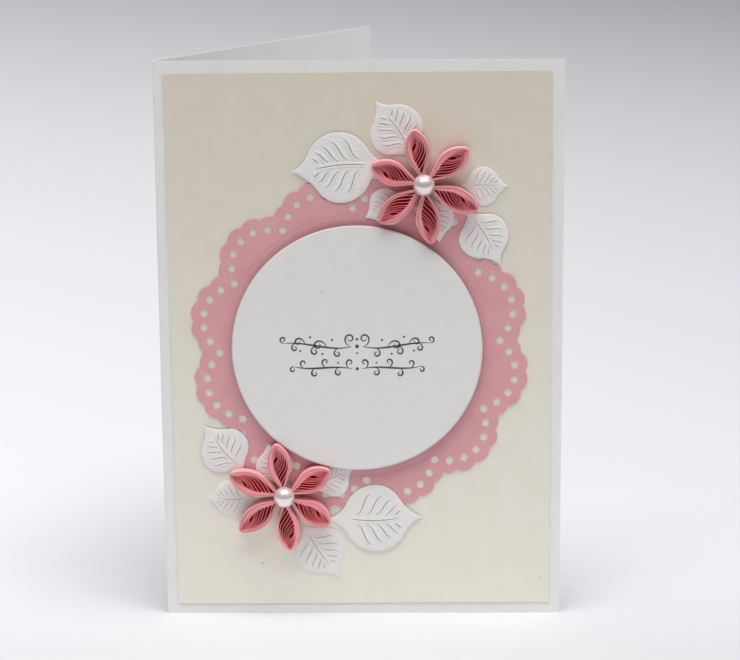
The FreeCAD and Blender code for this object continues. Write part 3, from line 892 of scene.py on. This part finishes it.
# %% Pearls
def nacre():
    # Moulded acrylic, nacre lacquered: a soft mirror over a milky body, under a clear coat.
    material, tree, shader, place = new_finish("nacre_lacquered_acrylic")
    swirl = add(tree, "ShaderNodeTexNoise", {"Vector": place, "Scale": per_metre(2.2), "Detail": 2.0})
    tone = add(tree, "ShaderNodeMix", {
        "Factor": swirl.outputs["Fac"], "A": colour("E0D5D1"), "B": colour("E8E0DC")}, data_type="RGBA")
    feed(tree, shader, {
        "Base Color": tone.outputs["Result"], "Metallic": 0.5, "Roughness": 0.25, "Coat Weight": 0.6,
        "Coat IOR": 1.7, "Coat Roughness": 0.12})
    return material


NACRE = nacre()
for flower in FLOWERS:
    node = f"{flower}_pearl"
    low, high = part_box(node)
    radius = (high.x - low.x) / 2
    bm = bmesh.new()
    bmesh.ops.create_uvsphere(bm, u_segments=64, v_segments=32, radius=radius)
    cut_height = low.y + radius - high.y
    cut = bmesh.ops.bisect_plane(bm, geom=bm.verts[:] + bm.edges[:] + bm.faces[:], dist=HAIR,
                                 plane_co=(0, 0, cut_height), plane_no=(0, 0, -1), clear_outer=True)
    rim = [e for e in cut["geom_cut"] if isinstance(e, bmesh.types.BMEdge)]
    bmesh.ops.holes_fill(bm, edges=rim, sides=0)
    place = middle(node)
    finished(bm, f"dome_{node}", glued_at(place.x, low.y + radius, place.z), NACRE,
             node)

# %% [markdown]
# ## A pen ornament
# The plaque is where a card maker letters an invitation. This one carries a plain pen ornament
# of scrolls and dots, which says nothing and belongs to nobody. A scroll is a line whose bend
# grows steadily along its length, as a hand draws it, and the ink is wider in its middle.

# %% Printing ink
def ink():
    # Offset ink on linen card: nearly black, slightly broken by the threads beneath.
    material, tree, shader, place = new_finish("offset_ink")
    break_up = add(tree, "ShaderNodeTexNoise", {"Vector": place, "Scale": per_metre(0.7), "Detail": 2.0})
    tone = add(tree, "ShaderNodeMix", {
        "Factor": break_up.outputs["Fac"], "A": colour("3A3A3C"), "B": colour("565658")}, data_type="RGBA")
    feed(tree, shader, {"Base Color": tone.outputs["Result"], "Roughness": 0.55})
    return material


INK = ink()
INK_HEIGHT = 0.02 * MM
VINE_STROKE = 0.5 * MM
CURL_STROKE = 0.45 * MM
# How wide a stroke is at its ends, as a share of its widest.
STROKE_END = 0.25
SCROLL_POINTS = 72


def scroll(start, heading, length, bend, curl):
    """A line whose bend changes evenly from bend to curl, both in degrees a millimetre."""
    step = length * MM / (SCROLL_POINTS - 1)
    turn = np.radians(np.linspace(bend, curl, SCROLL_POINTS)) * step / MM
    angles = math.radians(heading) + np.cumsum(turn)
    steps = np.column_stack([np.cos(angles), np.sin(angles)]) * step
    return np.array(start) + np.cumsum(steps, axis=0)


def inked(bm, line, widest):
    """Adds a pen stroke: a thin sheet drawn along the line, widest in its middle."""
    stroke = thick_sheet(len(line) - 1, 1)
    aside = right_of(line)
    width = widest * (STROKE_END + (1 - STROKE_END) * np.sin(np.linspace(0, np.pi, len(line))))

    def draw(points):
        column = column_of(points, len(line) - 1)
        flat = line[column] - aside[column] * (points[:, 1] * width[column] / 2)[:, None]
        return np.column_stack([flat, (points[:, 2] + 1) * INK_HEIGHT])

    reshaped(stroke, draw)
    joined(bm, stroke)


def dot(bm, x, y, radius):
    """Adds a round dot of ink."""
    move = Matrix.Translation((x, y, INK_HEIGHT / 2))
    bmesh.ops.create_cone(bm, cap_ends=True, segments=20, radius1=radius, radius2=radius,
                          depth=INK_HEIGHT, matrix=move)


# Each vine as its start, its heading, its length, its first and last bend, and then its curls.
# A curl leaves the vine at a share of its length and at an angle to it. Lengths are millimetres.
VINES = [
    ((1.2, 0.8, -16, 17.6, 5, -3.8), [
        (0.02, 40, 8.0, 12, 95), (0.19, -22, 5.0, -18, -130), (0.36, 58, 7.6, -6, -98),
        (0.52, -22, 5.2, -16, -126), (0.68, 60, 6.0, -6, -120), (0.82, -24, 4.4, -18, -145),
        (1.0, 6, 4.2, 40, 140)]),
    ((1.2, -5.2, 14, 15.0, -4.6, 4.6), [
        (0.05, 40, 4.6, 10, 136), (0.22, -30, 4.4, -14, -140), (0.44, 36, 4.6, 8, 136),
        (0.64, -34, 4.2, -12, -145), (0.84, 36, 3.8, 8, 150), (1.0, 0, 3.4, -50, -150)]),
]
DOTS = [(0, 0.8, 0.5), (0, 2.7, 0.34), (0, -1.0, 0.26), (6.5, 2.5, 0.3), (12.2, 3.3, 0.28),
        (9.0, -1.2, 0.28), (14.8, -0.4, 0.26), (0, -5.2, 0.42), (5.0, -3.6, 0.24), (11.8, -6.4, 0.24)]
bm = bmesh.new()
for (x, y, heading, *bends), curls in VINES:
    vine = scroll((x * MM, y * MM), heading, *bends)
    lines = [(vine, VINE_STROKE)]
    for share, lean, *curl_bends in curls:
        k = min(round(share * len(vine)), len(vine) - 1)
        step = vine[k] - vine[k - 1]
        leaves_at = math.degrees(math.atan2(step[1], step[0])) + lean
        lines.append((scroll(vine[k], leaves_at, *curl_bends), CURL_STROKE))
    for line, widest in lines:
        for hand in (1, -1):
            inked(bm, line * (hand, 1), widest)
for x, y, radius in DOTS:
    for hand in (1, -1) if x else (1,):
        dot(bm, hand * x * MM, y * MM, radius * MM)
place = middle("round_plaque")
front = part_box("round_plaque")[0].y
finished(bm, "pen_ornament", glued_at(place.x, front, place.z), INK)

# %% [markdown]
# ## The floor
# The card stands on pale seamless paper. As the camera sees it, it is painted a little darker from
# left to right and close before the card: painted shade. For the light that it throws back, the
# paper is even, and it ends at the table's edge, because the room beyond is dark.

# %% Floor
TABLE_EDGE = -0.45
TABLE_SIDE = 0.4
# Between these places before the card the paper is painted darker, as painted shade.
DIM_FROM, DIM_TO = -0.02, -0.07
FLOOR_REACH = 6


def seamless_paper():
    # Uncoated background paper, matt. Past the table's edge it gives little light back.
    material, tree, shader, place = new_finish("seamless_background_paper")
    axes = add(tree, "ShaderNodeSeparateXYZ", {"Vector": place}).outputs
    # Painted shade: the seen paper is painted darker to the right and just before the card.
    painted_shade_sideways = add(tree, "ShaderNodeMapRange", {
        "Value": axes["X"], "From Min": -TABLE_SIDE, "From Max": TABLE_SIDE, "To Min": 1.0, "To Max": 0.0})
    tone = add(tree, "ShaderNodeMix", {
        "Factor": painted_shade_sideways.outputs["Result"], "A": colour("C6C7C9"), "B": colour("EBECEE")},
        data_type="RGBA")
    on_table = add(tree, "ShaderNodeMath", {0: axes["Y"], 1: TABLE_EDGE}, operation="GREATER_THAN")
    bounced = add(tree, "ShaderNodeMix", {
        "Factor": on_table.outputs[0], "A": colour("505050"), "B": colour("EBECEE")}, data_type="RGBA")
    painted_shade_before_card = add(tree, "ShaderNodeMapRange", {
        "Value": axes["Y"], "From Min": DIM_TO, "From Max": DIM_FROM, "To Min": 0.9})
    even = add(tree, "ShaderNodeMix", {
        "Factor": 1.0, "A": tone.outputs["Result"], "B": painted_shade_before_card.outputs["Result"]}, data_type="RGBA",
        blend_type="MULTIPLY")
    seen = add(tree, "ShaderNodeLightPath").outputs["Is Camera Ray"]
    shown = add(tree, "ShaderNodeMix", {
        "Factor": seen, "A": bounced.outputs["Result"], "B": even.outputs["Result"]}, data_type="RGBA")
    feed(tree, shader, {
        "Base Color": shown.outputs["Result"], "Roughness": 0.9, "Specular IOR Level": 0.1})
    return material


bm = bmesh.new()
bmesh.ops.create_grid(bm, x_segments=1, y_segments=1, size=FLOOR_REACH)
floor = as_object(bm, "table_top", seamless_paper())

# %% [markdown]
# ## Light
# One wide softbox hangs high above the table. It lights what faces up strongly and what faces
# forward weakly, and that is why the low relief of paper on paper shows so well. The room gives
# a little light too, more from the ceiling than from the walls.

# %% Light
def lamp(name, place, aim, width, depth, power):
    """Hangs a softbox at a place and aims it. Sizes are in metres, the power in watts."""
    data = bpy.data.lights.new(name, "AREA")
    data.shape = "RECTANGLE"
    data.size = width
    data.size_y = depth
    data.energy = power
    lamp_object = bpy.data.objects.new(name, data)
    lamp_object.location = place
    lamp_object.rotation_euler = (Vector(aim) - Vector(place)).to_track_quat("-Z", "Y").to_euler()
    bpy.context.scene.collection.objects.link(lamp_object)


CARD_MIDDLE = (0, -0.04, 0.06)
lamp("overhead_softbox", place=(0.1, -0.6, 2.2), aim=CARD_MIDDLE, width=2.4, depth=1.3, power=63)

world = bpy.data.worlds.new("tent")
world.use_nodes = True
tree = world.node_tree
tent = tree.nodes["Background"]
# The camera sees the tent evenly pale. As a light it is dim below and stronger above.
seen = add(tree, "ShaderNodeLightPath").outputs["Is Camera Ray"]
height = add(tree, "ShaderNodeSeparateXYZ", {
    "Vector": add(tree, "ShaderNodeTexCoord").outputs["Generated"]}).outputs["Z"]
rise = add(tree, "ShaderNodeMapRange", {
    "Value": height, "From Min": 0.25, "From Max": 0.85, "To Min": 0.07, "To Max": 0.5})
strength = add(tree, "ShaderNodeMix", {"Factor": seen, "A": rise.outputs["Result"], "B": 0.6})
feed(tree, tent, {"Color": colour("FBFCFF"), "Strength": strength.outputs["Result"]})
bpy.context.scene.world = world
print("one softbox and a tent")

# %% [markdown]
# ## Camera
# The camera stands two thirds of a metre away and looks down by 13 degrees. Its long lens keeps
# the card's upright edges nearly parallel.

# %% Camera
# The degrees by which the camera looks down, turns to its left and rolls over.
LOOK_DOWN, LOOK_LEFT, ROLL_OVER = 12.95, 1.0, -0.43
camera_data = bpy.data.cameras.new("camera")
camera_data.lens = 112.5
camera_data.sensor_width = 36
camera = bpy.data.objects.new("camera", camera_data)
camera.location = (0.0127, -0.62855, 0.2127)
facing = (Quaternion((0, 0, 1), math.radians(LOOK_LEFT))
          @ Quaternion((1, 0, 0), math.radians(90 - LOOK_DOWN)))
camera.rotation_mode = "QUATERNION"
camera.rotation_quaternion = facing @ Quaternion((0, 0, 1), math.radians(ROLL_OVER))
bpy.context.scene.collection.objects.link(camera)
bpy.context.scene.camera = camera
bpy.context.scene.view_settings.view_transform = "Standard"
print("camera is", round(camera.location.length, 2), "m away")
